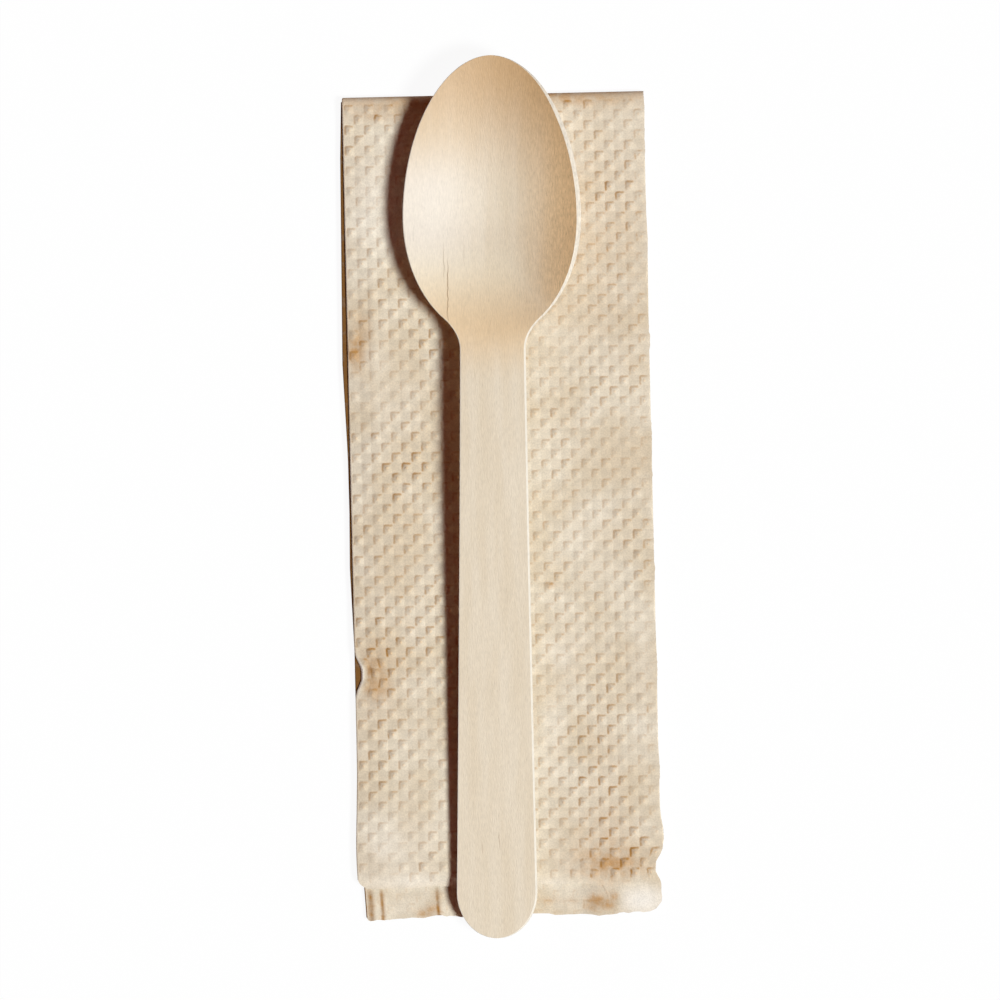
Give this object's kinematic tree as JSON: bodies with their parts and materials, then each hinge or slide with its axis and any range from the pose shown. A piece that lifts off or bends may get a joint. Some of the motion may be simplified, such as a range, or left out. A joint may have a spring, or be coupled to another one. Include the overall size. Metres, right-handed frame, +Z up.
{
  "type": "wooden spoon and napkin set",
  "caption": "Pressed birch spoon lying on an embossed kraft paper napkin, folded zigzag into a strip and once across.",
  "frame": {"origin": "under the middle of the set, on the surface it lies on", "axes": "+Z up, +Y along the spoon towards the tip of its bowl, +X to the right"},
  "size_m": [0.0588, 0.16, 0.0103],
  "materials": {
    "birch_veneer": "bare hot-pressed birch veneer, smooth and matt",
    "kraft_tissue": "unbleached one-ply tissue, embossed with small squares"
  },
  "bodies": {
    "root": {"wooden_spoon": "birch_veneer", "paper_napkin": "kraft_tissue"}
  },
  "joints": []
}
